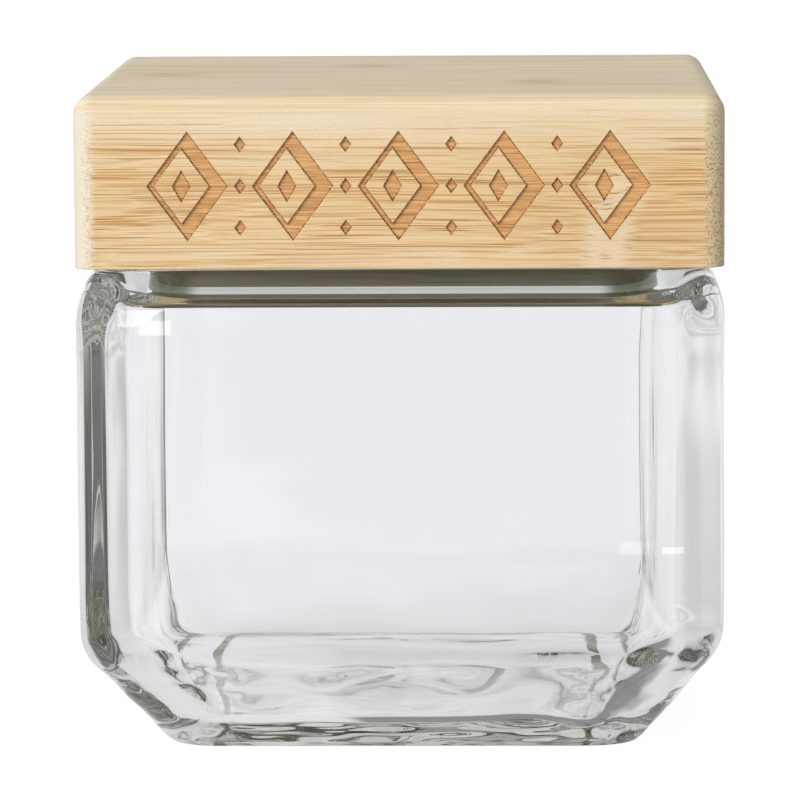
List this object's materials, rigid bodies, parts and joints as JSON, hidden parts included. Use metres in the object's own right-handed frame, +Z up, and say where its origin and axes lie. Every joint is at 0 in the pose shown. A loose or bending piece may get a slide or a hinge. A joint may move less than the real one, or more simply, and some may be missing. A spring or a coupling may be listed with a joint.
{
  "type": "storage jar",
  "caption": "Square clear glass storage jar with a bevelled foot and a thick bamboo lid, engraved with a lozenge border, that plugs into the mouth with a seal.",
  "frame": {"origin": "middle of the foot, on the surface that the jar stands on", "axes": "+Z up, -Y out of the lid's engraved side, +X to the right as that side is read"},
  "size_m": [0.101, 0.101, 0.1039],
  "materials": {
    "clear_glass": "polished",
    "bamboo": "sanded, unvarnished",
    "silicone": "clear, satin"
  },
  "bodies": {
    "jar": {"glass_jar": "clear_glass"},
    "lid": {"lid_lower_board": "bamboo", "lid_upper_board": "bamboo", "lid_plug": "bamboo", "seal_ring": "silicone"}
  },
  "joints": [
    {"name": "lid_lift", "type": "slide", "parent": "jar", "child": "lid", "axis": [0, 0, 1], "range_m": [0, 0.1]}
  ]
}
